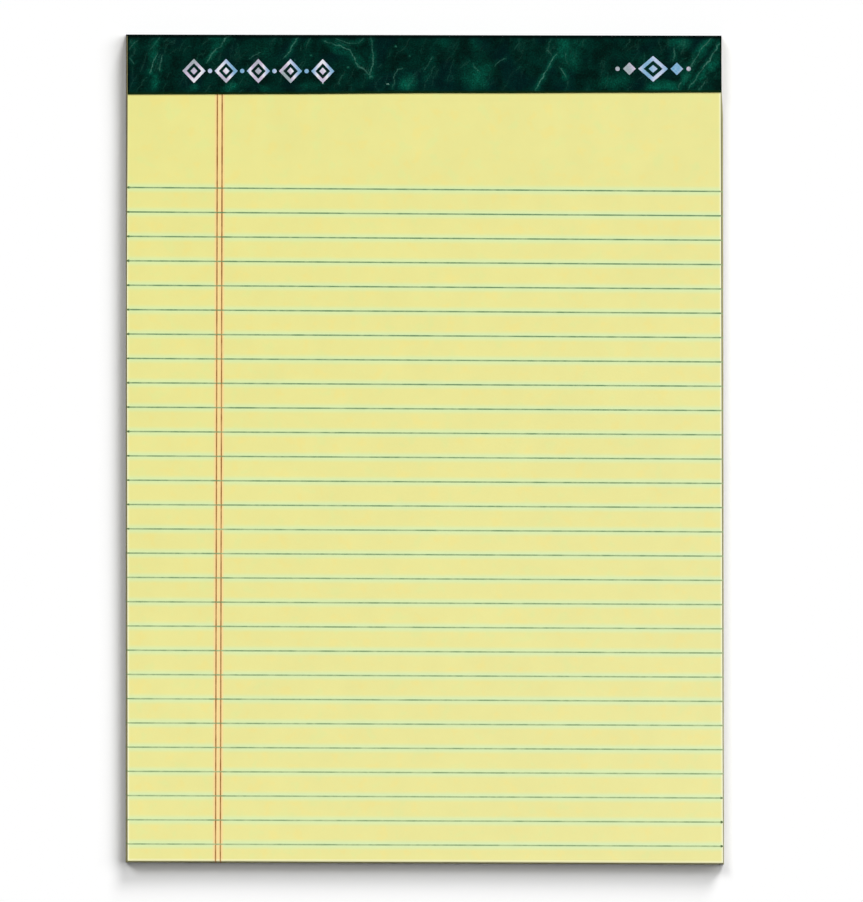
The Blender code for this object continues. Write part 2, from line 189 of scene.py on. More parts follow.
class Finish:
    # A material: its Principled shader takes the constant values, and node() adds any other node
    def __init__(self, name, roughness, metallic=0.0, specular=0.5):
        self.material = bpy.data.materials.new(name)
        self.material.use_nodes = True
        self.tree = self.material.node_tree
        self.shader = self.tree.nodes["Principled BSDF"]
        self.shader.inputs["Roughness"].default_value = roughness
        self.shader.inputs["Metallic"].default_value = metallic
        self.shader.inputs["Specular IOR Level"].default_value = specular

    def node(self, kind, settings=None, values=None, output=0):
        # Settings first, a ramp's stops among them, then values or links, by socket
        made = self.tree.nodes.new("ShaderNode" + kind)
        for key, value in (settings or {}).items():
            if key != "stops":
                setattr(made, key, value)
                continue
            ramp = made.color_ramp
            while len(ramp.elements) < len(value):
                ramp.elements.new(1.0)
            for element, (position, colour) in zip(ramp.elements, value):
                element.position, element.color = position, colour
        for key, value in (values or {}).items():
            if isinstance(value, Wire):
                self.tree.links.new(value.socket, made.inputs[key])
            else:
                made.inputs[key].default_value = value
        return Wire(self, made.outputs[output])

    def vector(self, operation, *values):
        return self.node("VectorMath", {"operation": operation}, dict(enumerate(values)))

    def attribute(self, name):
        return self.node("Attribute", {"attribute_name": name}, output=2)

    def scaled(self, vector, scale):
        return self.node("VectorMath", {"operation": "SCALE"}, {0: vector, "Scale": scale})

    def blend(self, share, first, second):
        return self.node("Mix", {"data_type": "RGBA"}, {0: share, 6: first, 7: second}, output=2)

    def noise(self, place, scale, detail=2.0, roughness=0.5, output=0):
        values = {"Vector": place, "Scale": scale, "Detail": detail, "Roughness": roughness}
        return self.node("TexNoise", {}, values, output)

    def split(self, vector):
        # x, y and z as three numbers
        parts = self.node("SeparateXYZ", {}, {0: vector})
        return [Wire(self, socket) for socket in parts.socket.node.outputs]

    def objectPlace(self):
        # Object coordinates in millimetres
        return self.scaled(self.node("TexCoord", output=3), 1 / mm)

    def stretched(self, place, scale, turn=0.0):
        # Each axis scaled by its own number, then turned about z: a noise read there is drawn out
        return self.node("Mapping", {}, {0: place, "Rotation": (0, 0, turn), "Scale": scale})

    def warped(self, place, scale, reach):
        # The place pushed about by up to half of reach each way, by a noise of that scale
        push = self.vector("SUBTRACT", self.noise(place, scale, output=1), (0.5, 0.5, 0.5))
        return self.vector("ADD", place, self.scaled(push, reach))

    def give(self, socket, value):
        self.tree.links.new(value.socket, self.shader.inputs[socket])

    def bump(self, height, distance, strength=1.0):
        values = {"Height": height, "Distance": distance, "Strength": strength}
        self.give("Normal", self.node("Bump", {}, values))


# Ruling, as printed on every sheet: rule n crosses the middle at head - first - n * spacing, less
# the bow times 4t(1 - t), where t runs from 0 to 1 over the rules, and falls to the right; the
# margin lines drift outwards towards the foot

ruling = {
    "spacing": 8.722 * mm,
    "first": 56.11 * mm,         # from the head
    "last": 3.0 * mm,            # from the foot, at least
    "fallFirst": 1.63 * mm,      # over the sheet's width
    "fallLast": 0.74 * mm,
    "marginPlaces": (33.42 * mm, 35.16 * mm),   # from the left, at the head
    "marginDrift": 0.6 * mm,
    "bow": 0.456 * mm,           # how much lower the middle rules lie than even spacing puts them
    "ruleWidth": 0.50 * mm,
    "marginWidth": 0.47 * mm,
    "shortOfEdge": 0.03 * mm,
    "bead": 1.0 * mm,            # length of an ink drop at a rule's end
    "beadShape": (0, 0.5, 1.0, 0.9, 0.4, 0.1),   # its width at even steps, towards the end
    "beadWidth": 0.9,            # how much wider the line is there, as a share of its width
    "rightDrops": (-116 * mm, -130 * mm),   # y between which the right ends take to drops
    "leftDrops": (-45 * mm, -25 * mm),
    "leftVaries": (0.2, 1.2),    # a left drop's own share of that width
    "rightSoak": (1.1 * mm, 0.5 * mm),      # from the cut edge, where a drop starts and is full
    "leftSoak": (0.9 * mm, 0.4 * mm),
    "soak": 0.85,                # how far a full drop has the soaked ink's colour
    "inkHeight": 0.02 * mm,
    "inkSunk": 0.01 * mm,
    "step": 2.0 * mm,            # between stations along a line
    "spread": 0.09,              # share by which a line's width wanders
    "spreadLength": 14 * mm,
    "covered": 18 * mm,          # from the head, where the margin lines start under the strip
    "seed": 3,
}
ruleCount = int((sheetLength - ruling["first"] - ruling["last"]) / ruling["spacing"]) + 1
fallChange = (ruling["fallLast"] - ruling["fallFirst"]) / (ruleCount - 1)

sheets = {
    "count": 50,
    "gapShare": 0.17,            # of one sheet, the opening to the next
    "groove": 0.14 * mm,
    "trim": 0.07 * mm,           # how far the knife left one sheet short of another
    "wander": 0.03 * mm,
    "wanderLength": 90 * mm,
    "step": 4 * mm,              # of the grid on the faces
    "wave": 0.07 * mm,
    "waveLength": 115 * mm,
    "wavePhase": 0.8,
    "waveSlant": 0.4,            # how far the second wave leans, as run for each length
    "waveDrop": 0.6,             # by this share of its height the whole wave lies lower
    "cornerLift": 0.20 * mm,
    "cornerReach": 60 * mm,
    "free": (24 * mm, 74 * mm),  # from the head, where the waves start and are full
    "seed": 5,
}

# The cut: the pad is a little out of square, and its sides lean in towards the top sheet
cut = {
    "lean": 0.0020,              # run to the right for each length towards the foot
    "fall": 0.0031,              # fall for each length to the right
    "side": 0.70 * mm,           # how far the top sheet lies in from the bottom one, at each side
    "foot": 0.97 * mm,
    "head": 0.50 * mm,
    "splay": 0.50 * mm,          # how much further the bottom goes out, left foot and right head
    "shift": 0.40 * mm,          # how far the left side lies to the right near the head
    "shiftLength": 105 * mm,
    "splayFree": (18 * mm, 30 * mm),    # from the head, where the right splay starts and is full
}
sideRoom = cut["lean"] * sheetLength / 2
endRoom = cut["fall"] * halfWidth
topHalf = halfWidth - sideRoom - cut["side"]
topFoot = foot + endRoom + cut["foot"]


def trimmed(x, y, z):
    # Each layer is drawn in by its height's share of the cut, and the whole pile is sheared both
    # ways: x by the lean times y, and y by the fall times x, with room left for both; the bottom
    # splays to the left towards the foot and to the right towards the head
    rise = np.clip((z - blockBottom) / (blockTop - blockBottom), 0, 1)
    up = (y - foot) / (head - foot)
    narrow = x * (1 - (sideRoom + cut["side"] * rise) / halfWidth)
    splay = np.where(x < 0, 1 - up, up * smoothstep(head - y, *cut["splayFree"]))
    narrow = narrow + cut["splay"] * (1 - rise) * splay * x / halfWidth
    low = endRoom + cut["foot"] * rise
    high = endRoom + cut["head"] * rise
    return narrow - cut["lean"] * y, y + low * (1 - up) - high * up - cut["fall"] * x


def headShift(x, y):
    # The left side of the sheets comes in a little, by a smoothstep over the stretch to the head
    return cut["shift"] * (0.5 - x / padWidth) * smoothstep(y, head - cut["shiftLength"], head)


def sheetRise(x, y):
    # Two crossed long waves and a lift that grows with the square of nearness to a foot corner,
    # all faded to nothing under the strip
    turns = 2 * math.pi / sheets["waveLength"]
    waves = np.sin(turns * x + sheets["wavePhase"]) * np.sin(turns * (y - sheets["waveSlant"] * x))
    gap = np.hypot(halfWidth - np.abs(x), y - foot)
    near = np.clip(1 - gap / sheets["cornerReach"], 0, 1) ** 2
    rise = sheets["wave"] * (waves - sheets["waveDrop"]) + sheets["cornerLift"] * near
    return smoothstep(head - y, *sheets["free"]) * rise


# The square of the sheets' bake map: the top face in full, the bottom face small beside it, and each
# wall as a band, stretched across and shortened along
sheetBake = {
    "side": sheetLength + 30 * mm,
    "border": 4 * mm,
    "bottomShare": 0.25,
    "bottomFrom": 90 * mm,       # beyond the top face to the bottom one's right end
    "bandWidth": 16 * mm,
    "bandStep": 18 * mm,
    "bandFrom": 10 * mm,
    "bandStart": 100 * mm,
    "bandLength": 200 * mm,
}


def sheetUvs(columns, rows, levels, border):
    # Both faces as flat grids, then every wall quad at its share of the wall's length
    x, y = np.meshgrid(np.linspace(0, padWidth, columns), np.linspace(0, sheetLength, rows))
    flat = np.stack((x, y), axis=-1).reshape(-1, 2)
    quads = ringQuads(rows, columns, closed=False)
    top = flat[quads] + sheetBake["border"]
    small = sheetBake["bottomShare"]
    corner = (padWidth * (1 - small) + sheetBake["bottomFrom"], sheetBake["border"])
    bottom = flat[quads] * small + corner
    along = np.arange(border + 1) % border
    counts = np.array((columns - 1, rows - 1, columns - 1, rows - 1))
    starts = np.concatenate(([0], np.cumsum(counts)[:-1]))
    wall = np.searchsorted(np.cumsum(counts), along[:-1], side="right")
    share = (along[:-1] - starts[wall]) / counts[wall]
    nextShare = share + 1 / counts[wall]
    bandX = padWidth + sheetBake["bandFrom"] + wall * sheetBake["bandStep"]
    height = np.linspace(0, sheetBake["bandWidth"], levels)
    low, high = height[:-1, None], height[1:, None]
    first, second = (sheetBake["bandStart"] + sheetBake["bandLength"] * end
                     for end in (share, nextShare))
    corners = [np.stack(np.broadcast_arrays(bandX + level, place), axis=-1)
               for level, place in ((low, first), (low, second), (high, second), (high, first))]
    walls = np.stack(corners, axis=-2).reshape(-1, 4, 2)
    return np.concatenate((top, bottom[:, ::-1], walls)) / sheetBake["side"]


def makeSheets(material):
    # Two grids, the top and bottom faces, with ring upon ring of trimmed edge between their
    # borders: each sheet has a lower ring, an upper ring and, above it, a groove ring set in
    rng = np.random.default_rng(sheets["seed"])
    columns = int(padWidth / sheets["step"]) + 1
    rows = int(sheetLength / sheets["step"]) + 1
    x, y = np.meshgrid(np.linspace(-halfWidth, halfWidth, columns), np.linspace(foot, head, rows))
    numbers = np.arange(columns * rows).reshape(rows, columns)
    border = np.concatenate((numbers[0, :-1], numbers[:-1, -1], numbers[-1, :0:-1], numbers[:0:-1, 0]))
    edgeX, edgeY = x.ravel()[border], y.ravel()[border]

    thick = (blockTop - blockBottom) / sheets["count"]
    lows = blockBottom + thick * np.arange(sheets["count"])
    highs = lows + thick * (1 - sheets["gapShare"])
    highs[-1] = blockTop
    middles = (highs + np.append(lows[1:], blockTop)) / 2
    height = np.stack((lows, highs, middles), axis=1).ravel()[:-1, None]

    along = np.arange(len(border)) * sheets["step"]
    wander = sheets["wander"] * (1 + waver(along, sheets["count"], sheets["wanderLength"], rng)) / 2
    inset = wander + sheets["trim"] * rng.uniform(0, 1, (sheets["count"], 1))
    inset[-1] = 0
    inset = np.stack((inset, inset, inset + sheets["groove"]), axis=1).reshape(-1, len(border))[:-1]
    ringX = np.clip(edgeX, -halfWidth + inset, halfWidth - inset)
    ringY = np.clip(edgeY, foot + inset, head - inset)
    ringX, ringY = trimmed(ringX, ringY, height)
    ringX = ringX + headShift(ringX, ringY)
    share = (height - blockBottom) / (blockTop - blockBottom)
    ringZ = height + share ** 3 * sheetRise(ringX, ringY)     # the lower sheets lie flatter
    rings = np.stack((ringX, ringY, ringZ), axis=-1)

    flat = np.stack((x, y), axis=-1).reshape(-1, 2)
    bottom = np.column_stack((*trimmed(*flat.T, blockBottom), np.full(len(flat), blockBottom)))
    topX, topY = trimmed(*flat.T, blockTop)
    topX = topX + headShift(topX, topY)
    top = np.column_stack((topX, topY, blockTop + sheetRise(topX, topY)))
    bottom[border], top[border] = rings[0], rings[-1]
    quads = ringQuads(rows, columns, closed=False)
    levels = len(rings)
    ringNumbers = len(flat) * 2 + np.arange((levels - 2) * len(border)).reshape(levels - 2, -1)
    ringNumbers = np.vstack((len(flat) + border, ringNumbers, border))
    walls = ringNumbers.ravel()[ringQuads(levels, len(border))]
    points = np.concatenate((top, bottom, rings[1:-1].reshape(-1, 3)))
    piece = makeObject("sheets", points, [quads, len(flat) + quads[:, ::-1], walls])
    shares = np.repeat(share[1:-1], len(border))
    layAttribute(piece, "layer", np.concatenate((np.ones(len(flat)), np.zeros(len(flat)), shares)))
    layUv(piece, "OFBake", sheetUvs(columns, rows, levels, len(border)))
    return finishPiece(piece, material)


def ribbon(points, across, widths, low, high):
    # A thin closed band: at each point of a line, a rectangle as wide as widths says there, from
    # low to high above the sheet; rings of four corners joined by quads, with both ends closed
    half = widths[:, None] / 2 * across
    z = blockTop + sheetRise(*points.T)
    sides = [(points - half, low), (points + half, low), (points + half, high), (points - half, high)]
    rings = np.stack([np.column_stack((flat, z + level)) for flat, level in sides], axis=1)
    last = 4 * (len(points) - 1)
    ends = np.array(((3, 2, 1, 0), (last, last + 1, last + 2, last + 3)))
    return rings.reshape(-1, 3), np.concatenate((ringQuads(len(points), 4), ends))


def makeLines(name, lines, width, material, rng, drops=0.0):
    # All the lines of one ink: each runs straight between its two ends, its width wandering;
    # where asked, the low ones end in a drop on the right and the high ones on the left
    allPoints, allFaces, start = [], [], 0
    shape = np.array(ruling["beadShape"])
    for first, last in lines:
        first, last = np.array(first), np.array(last)
        length = np.linalg.norm(last - first)
        bead = ruling["bead"] / length
        near = np.linspace(0, bead, len(shape))
        between = np.linspace(bead, 1 - bead, int(length / ruling["step"]) + 1)[1:-1]
        stations = np.concatenate((near, between, 1 - near[::-1]))
        middle = first + stations[:, None] * (last - first)
        across = np.array((first[1] - last[1], last[0] - first[0])) / length
        spread = waver(stations * length, 1, ruling["spreadLength"], rng)[0]
        widths = width * (1 + ruling["spread"] * spread)
        rightDrop = drops * smoothstep(last[1], *ruling["rightDrops"])
        leftDrop = drops * smoothstep(first[1], *ruling["leftDrops"])
        leftDrop = leftDrop * rng.uniform(*ruling["leftVaries"])
        widths[-len(shape):] *= 1 + rightDrop * shape
        widths[:len(shape)] *= 1 + leftDrop * shape[::-1]
        points, faces = ribbon(middle, across, widths, -ruling["inkSunk"], ruling["inkHeight"])
        allPoints.append(points)
        allFaces.append(faces + start)
        start += len(points)
    return finishPiece(makeObject(name, np.concatenate(allPoints), allFaces), material)


def ruleEnds():
    # Each rule's left and right end, at the top sheet's own edges
    reach = topHalf - ruling["shortOfEdge"]
    for number in range(ruleCount):
        fall = ruling["fallFirst"] + number * fallChange
        share = number / (ruleCount - 1)
        bow = 4 * ruling["bow"] * share * (1 - share)
        middle = head - ruling["first"] - number * ruling["spacing"] - bow
        drop = reach * fall / padWidth
        shift = cut["lean"] * middle
        left = -reach - shift
        yield (left + headShift(left, middle), middle + drop), (reach - shift, middle - drop)


def marginEnds():
    # Where each margin line comes out from under the strip, and its end at the foot
    for place in ruling["marginPlaces"]:
        top = -halfWidth + place
        start = top - ruling["marginDrift"] * ruling["covered"] / sheetLength
        low = topFoot - cut["fall"] * top + ruling["shortOfEdge"]
        yield (start, head - ruling["covered"]), (top - ruling["marginDrift"], low)


# Paper and inks

paperLook = {
    "body": srgb(235, 230, 151),
    "warm": srgb(242, 227, 140),
    "green": srgb(226, 233, 156),
    # What each tint lies along, the millimetres at which it starts and is full, and its share
    "tints": (("rule", (2.3, 0.3), 0.95, srgb(218, 237, 178)),
              ("margin", (1.3, 0.4), 0.9, srgb(252, 216, 154)),
              # The side and foot tints: pale bands of painted highlight at the cut edges, and last a
              # narrow band of painted shade at the foot's edge
              ("side", (1.1, 0.4), 0.15, srgb(252, 252, 212)),
              ("side", (0.44, 0.22), 1.0, srgb(252, 252, 212)),
              ("foot", (1.0, 0.6), 0.4, srgb(252, 252, 212)),
              ("foot", (0.5, 0.2), 0.6, srgb(204, 200, 166))),
    "blotches": 0.45,                 # share of the warm and the green ones
    "fade": (0.00004, -0.00005),      # how much paler it gets with each millimetre of x and y
    "blueFade": 0.0004,               # how much bluer, to the right and towards the foot
    "blueFadeEnd": -90.0,             # y from which it gets no bluer
    "blueLess": 0.012,
    "walls": srgb(236, 230, 170),
    "wallShade": srgb(192, 186, 130),
    # Painted shade on the pile's left and right walls, darker near the top sheets on the right
    "paintedShade": srgb(118, 115, 80),
    "paintedShadeFrom": (105.6, 106.2),    # x in millimetres, beyond which the side walls take painted shade
    "paintedShadeLayers": (0.35, 0.75),    # heights between which the right wall's painted shade gets darker
    "paintedShadeShares": (0.4, 0.55, 0.95),   # at the left, and at the right low and high
    "wallRuleInk": srgb(150, 180, 130),
    "wallMarginInk": srgb(205, 140, 90),
    "tickShift": 0.5,                 # millimetres by which one sheet's ink misses the next one's
}


def paperFinish():
    # Cloudy bond with a painted highlight along its cut edges and painted shade at the foot's edge; ink
    # tints it close to each printed line, and shows as ticks where the lines run out over the edges of
    # the pile, whose side walls carry painted shade
    finish = Finish("canaryBond", roughness=0.88, specular=0.2)
    place = finish.objectPlace()
    x, y, _ = finish.split(place)
    across = x / (padWidth / mm)
    down = (head - ruling["first"]) / mm - across * (ruling["fallFirst"] / mm) - y
    pitch = across * (fallChange / mm) + ruling["spacing"] / mm
    share = down / pitch / (ruleCount - 1)
    number = (down - share * (1 - share) * (4 * ruling["bow"] / mm)) / pitch
    ruleGap = abs(number - number.math("ROUND")) * (ruling["spacing"] / mm)
    printed = number.over(-0.5, -0.45) * number.over(ruleCount - 0.5, ruleCount - 0.55)   # 1 by a rule
    marginSlope = ruling["marginDrift"] / sheetLength
    drifted = x - (y - head / mm) * marginSlope
    marginGap = None
    for line in ruling["marginPlaces"]:
        gap = abs(drifted + (halfWidth - line) / mm)
        marginGap = gap if marginGap is None else marginGap.least(gap)

    cloudy = finish.noise(place, 0.09, detail=3.0)
    blotch = finish.noise(place, 0.17, detail=3.0)
    speckle = finish.noise(place, 3.2, detail=3.0, roughness=0.7)
    warm, green = (blotch.over(*reach) * paperLook["blotches"] for reach in ((0.54, 0.70), (0.46, 0.30)))
    body = finish.blend(warm, paperLook["body"], paperLook["warm"])
    body = finish.blend(green, body, paperLook["green"])
    sideGap = topHalf / mm - abs(x + y * cut["lean"])
    footGap = y + x * cut["fall"] - topFoot / mm
    gaps = {"rule": ruleGap, "margin": marginGap, "side": sideGap, "foot": footGap}
    for along, reach, share, tint in paperLook["tints"]:
        near = gaps[along].over(*reach) * share
        body = finish.blend(near * printed if along == "rule" else near, body, tint)

    layers = finish.stretched(place, (0.05, 0.05, 9.0))
    streak = finish.noise(layers, 1.0, detail=3.0)
    wall = finish.blend(streak.over(0.35, 0.7), paperLook["walls"], paperLook["wallShade"])
    layer = finish.attribute("layer")
    # The side walls darkened by painted shade, the right one most near the top sheets
    leftShadeShare, lowShare, highShare = paperLook["paintedShadeShares"]
    rightShadeShare = layer.over(*paperLook["paintedShadeLayers"]) * (highShare - lowShare) + lowShare
    right = x.over(*paperLook["paintedShadeFrom"]) * rightShadeShare
    left = (0 - x).over(*paperLook["paintedShadeFrom"]) * leftShadeShare
    wall = finish.blend(right + left, wall, paperLook["paintedShade"])
    shift = (finish.noise(layers, 0.4) - 0.5) * paperLook["tickShift"]
    tick = (ruleGap + shift).over(0.32, 0.16) * printed
    wall = finish.blend(tick * 0.8, wall, paperLook["wallRuleInk"])
    wall = finish.blend((marginGap + shift).over(0.35, 0.18) * 0.8, wall, paperLook["wallMarginInk"])
    colour = finish.blend(layer.over(0.9995, 0.9975), body, wall)     # the top sheet's face is layer 1
    fadeRight, fadeUp = paperLook["fade"]
    tone = 0.955 + 0.07 * cloudy + 0.02 * speckle + x * fadeRight + y * fadeUp
    bluer = (x - y.most(paperLook["blueFadeEnd"])) * paperLook["blueFade"] - paperLook["blueLess"]
    toned = finish.node("CombineXYZ", {}, {0: tone, 1: tone, 2: tone + bluer})
    finish.give("Base Color", finish.vector("MULTIPLY", colour, toned))
    finish.give("Roughness", 0.82 + 0.12 * speckle)
    finish.bump(speckle, 0.03 * mm, 0.5)
    return finish.material


# Each ink where it lies thin, dense and soaked in; the millimetres of y over which it gets denser,
# the level of that rise which leaves it as it is, and by how much it changes in all
ruleInkLook = {"thin": srgb(182, 198, 143), "dense": srgb(116, 146, 100), "soaked": srgb(54, 78, 40),
               "rise": (-150.0, 110.0), "level": 0.4, "more": 0.5}
marginInkLook = {"thin": srgb(190, 152, 88), "dense": srgb(140, 88, 28), "soaked": srgb(140, 88, 28),
                 "rise": (60.0, 125.0), "level": 0.0, "more": 0.35}


def inkFinish(name, look):
    # Offset ink: paler where the paper took less of it, in short stretches along the line, with
    # more of it towards the head, and soaked into the cut edge where drops lie
    finish = Finish(name, roughness=0.85, specular=0.2)
    place = finish.objectPlace()
    x, y, _ = finish.split(place)
    load = finish.noise(place, 0.16, detail=4.0, roughness=0.65)
    grain = finish.noise(place, 4.0, detail=2.0)
    more = (y.over(*look["rise"]) - look["level"]) * look["more"]
    share = load.over(0.34, 0.66) * 0.7 + grain * 0.3 + more
    colour = finish.blend(share.least(1.0), look["thin"], look["dense"])
    side = x + y * cut["lean"]
    rightGap, leftGap = topHalf / mm - side, side + topHalf / mm
    right = rightGap.over(*inMm(ruling["rightSoak"])) * y.over(*inMm(ruling["rightDrops"]))
    left = leftGap.over(*inMm(ruling["leftSoak"])) * y.over(*inMm(ruling["leftDrops"]))
    colour = finish.blend((right + left) * ruling["soak"], colour, look["soaked"])
    finish.give("Base Color", colour)
    finish.give("Roughness", 0.80 + 0.1 * grain)
    return finish.material


# Binding strip

strip = {
    "thickness": 0.2 * mm,
    "frontLeft": 21.81 * mm,     # depth of the front flap at the left end
    "frontRight": 20.58 * mm,
    "short": 0.14 * mm,          # how much less deep it is at the middle
    "shortReach": 24 * mm,
    "slid": 0.34 * mm,           # how far its top lies right of the sheets
    "back": 19.5 * mm,
    "fold": 0.45 * mm,           # outer radius of both folds
    "step": 0.36 * mm,           # between stations along the strip
    "outerSteps": (58, 6, 10, 6, 20),   # flap, fold, spine, fold and back flap
    "innerSteps": (8, 4, 2, 4, 4),
    "settle": 0.07 * mm,         # how far the front flap beds down on the sheets
    "settleLength": 5 * mm,
    "crownRise": 0.05 * mm,
    "crownReach": 6.35 * mm,     # half a staple's crown
    "crownSpread": 0.55 * mm,
    "cutWaver": 0.04 * mm,
    "cutWaverLength": 160 * mm,
    "bakeSquare": 110 * mm,      # side of the square that the rolled-out strip is laid on
    "squeeze": 0.12,             # of the inside there
    "insideGap": 1 * mm,
    "closingWidth": 0.3 * mm,
    "endSqueeze": 0.3,
    "endGap": 0.1 * mm,
    "seed": 8,
}

# Staples, as the frame has them: their crowns' middles, and their line from the head as a share of
# the way to the perforation
staples = {"fromSide": 35.3 * mm, "lineShare": 0.45, "perforation": 19.05 * mm}
stapleMiddles = np.array((-1, 0, 1)) * (halfWidth - staples["fromSide"])
stapleLine = head - staples["lineShare"] * staples["perforation"]


def stripRelief(x, y):
    # The flap settles from the fold inwards, and rises over each staple's crown as a rounded
    # ridge: a bell curve of the distance from the crown's own straight
    settled = smoothstep(stripHead - y, strip["fold"], strip["fold"] + strip["settleLength"])
    beyond = np.clip(np.abs(x[..., None] - stapleMiddles) - strip["crownReach"], 0, None).min(axis=-1)
    gap = np.hypot(beyond, y - stapleLine)
    return strip["crownRise"] * np.exp(-(gap / strip["crownSpread"]) ** 2) - strip["settle"] * settled


def onStrip(x, y, z):
    # The pile's own cut, with the strip slid to the right in step with the height
    cutX, cutY = trimmed(x, y, z)
    rise = smoothstep(z, blockBottom, blockTop)
    return np.stack((cutX + strip["slid"] * rise, cutY, z), axis=-1)


def stripFace(x, depth, steps, inset):
    # One face of the folded strip as a grid: its section runs from the front edge over a quarter
    # circle, down the spine, round another and back under, and is carried along x; the inset goes
    # in from the outside against each point's own outward direction
    radius, quarter = strip["fold"], math.pi / 2
    upper, lower = stripTop - radius, stripLow[2] + radius
    inner = stripHead - radius
    flap = np.linspace(1, 0, steps[0] + 1)[:-1]
    turned = np.linspace(quarter, 0, steps[1] + 1)
    spine = np.linspace(upper, lower, steps[2] + 1)[1:-1]
    turnedUnder = np.linspace(0, -quarter, steps[3] + 1)
    under = np.linspace(0, 1, steps[4] + 1)[1:]
    angle = np.concatenate((np.full(len(flap), quarter), turned, np.zeros(len(spine)), turnedUnder,
                            np.full(len(under), -quarter)))
    centreZ = np.concatenate((np.full(len(flap) + len(turned), upper), spine,
                              np.full(len(turnedUnder) + len(under), lower)))
    ahead = np.zeros((len(x), len(angle)))
    ahead[:, :len(flap)] = flap * (depth[:, None] - radius)
    ahead[:, -len(under):] = under * (strip["back"] - radius)
    gridX = np.broadcast_to(x[:, None], ahead.shape)
    relief = np.where(np.isclose(angle, quarter), stripRelief(gridX, inner - ahead), 0)
    gridY = inner - ahead + (radius - inset) * np.cos(angle)
    gridZ = centreZ + (radius - inset) * np.sin(angle) + relief
    return onStrip(gridX, gridY, gridZ)


def lengthAlong(face):
    # From the front edge, point by point along each section
    steps = np.linalg.norm(np.diff(face[..., 1:], axis=1), axis=-1)
    return np.concatenate((np.zeros((len(face), 1)), np.cumsum(steps, axis=1)), axis=1)


def makeStrip(material):
    # An outer and an inner face joined into one ring of points at each station, with one face over
    # each end; the front flap's depth changes evenly from end to end
    rng = np.random.default_rng(strip["seed"])
    count = 2 * round(padWidth / strip["step"] / 2) + 1
    x = np.linspace(-halfWidth, halfWidth, count)
    depth = np.linspace(strip["frontLeft"], strip["frontRight"], count)
    depth = depth + strip["cutWaver"] * waver(x, 1, strip["cutWaverLength"], rng)[0]
    depth = depth - strip["short"] * np.exp(-(x / strip["shortReach"]) ** 2)
    outer = stripFace(x, depth, strip["outerSteps"], 0)
    inner = stripFace(x, depth, strip["innerSteps"], strip["thickness"])
    rings = np.concatenate((outer, inner[:, ::-1]), axis=1)
    size = rings.shape[1]
    quads = ringQuads(count, size)[:, ::-1]
    ends = np.stack((np.arange(size), (count - 1) * size + np.arange(size)[::-1]))
    piece = makeObject("bindingStrip", rings.reshape(-1, 3), [quads, ends])

    # Masks for the print, its plan, and a bake map: the ring rolled out, its inside squeezed, in
    # two halves one above the other, with the ends beside them
    outerLength, innerLength = lengthAlong(outer), lengthAlong(inner)
    fromEdge = np.concatenate((outerLength, innerLength[:, ::-1]), axis=1)
    u = np.repeat(x[:, None] + halfWidth, size, axis=1)
    v = depth[:, None] - fromEdge
    printU = u / mm * marble["stretch"] + marble["shift"][0]
    printV = v / mm + marble["shift"][1] + marble["skew"] * (u - halfWidth) / mm
    for name, values in marbleMasks(printU, printV).items():
        layAttribute(piece, name, values)
    layAttribute(piece, "fromEdge", fromEdge / mm)
    plan = np.stack((u, v), axis=-1).reshape(-1, 2)
    layUv(piece, "printPlan", np.concatenate((plan[quads.ravel()], plan[ends.ravel()])))

    rolled = fromEdge.copy()
    reach = outerLength[:, -1:]
    inside = strip["squeeze"] * (reach - innerLength[:, ::-1])
    rolled[:, outer.shape[1]:] = reach + strip["insideGap"] + inside
    bands = np.stack((u, rolled), axis=-1).reshape(-1, 2)[quads]
    closing = quads[:, 3] % size == size - 1
    bands[closing, 1:3, 1] = bands[closing][:, (0, 3), 1] + strip["closingWidth"]
    right = quads[:, 3:] // size >= count // 2
    bands += np.stack((right * -halfWidth, right * strip["bakeSquare"] / 2), axis=-1)
    capX = rings[0, :, 2] * strip["endSqueeze"] + halfWidth + strip["endGap"]
    cap = np.stack((capX, fromEdge[0]), axis=-1)
    bands = np.concatenate((bands.reshape(-1, 2), cap, cap[::-1] + (0, strip["bakeSquare"] / 2)))
    layUv(piece, "OFBake", bands / strip["bakeSquare"])
    return finishPiece(piece, material, sharpAngle=40)


# Marble, in millimetres from the strip's left end and from the head: each vein is its points and
# its strength, each cloud its middle, its two half lengths, its lean in degrees and its strength

